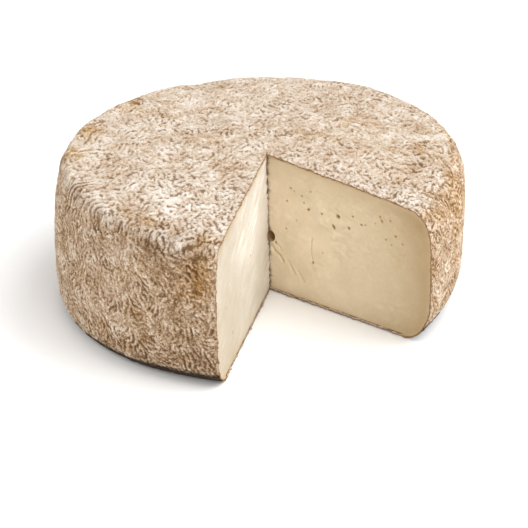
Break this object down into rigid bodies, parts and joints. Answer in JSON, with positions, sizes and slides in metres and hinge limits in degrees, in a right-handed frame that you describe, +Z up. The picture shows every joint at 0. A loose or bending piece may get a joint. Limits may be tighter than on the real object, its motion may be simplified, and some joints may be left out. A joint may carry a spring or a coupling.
{
  "type": "sheep milk tomme",
  "caption": "Round drum of hard sheep milk cheese with a wrinkled rind and one wedge cut out, so that pale paste with small holes shows on the cut faces.",
  "frame": {"origin": "middle of the bounding box at the height of the flat base that the wheel rests on", "axes": "+Z up through the height of the wheel, -Y out through the middle of the open notch, +X to the right when looking into the notch"},
  "size_m": [0.2238, 0.2027, 0.0858],
  "materials": {
    "rind": "dry wrinkled natural rind, pale ridges over brown furrows",
    "paste": "smooth ivory cheese paste, cut by a knife"
  },
  "bodies": {
    "root": {"tomme": "rind"}
  },
  "joints": []
}
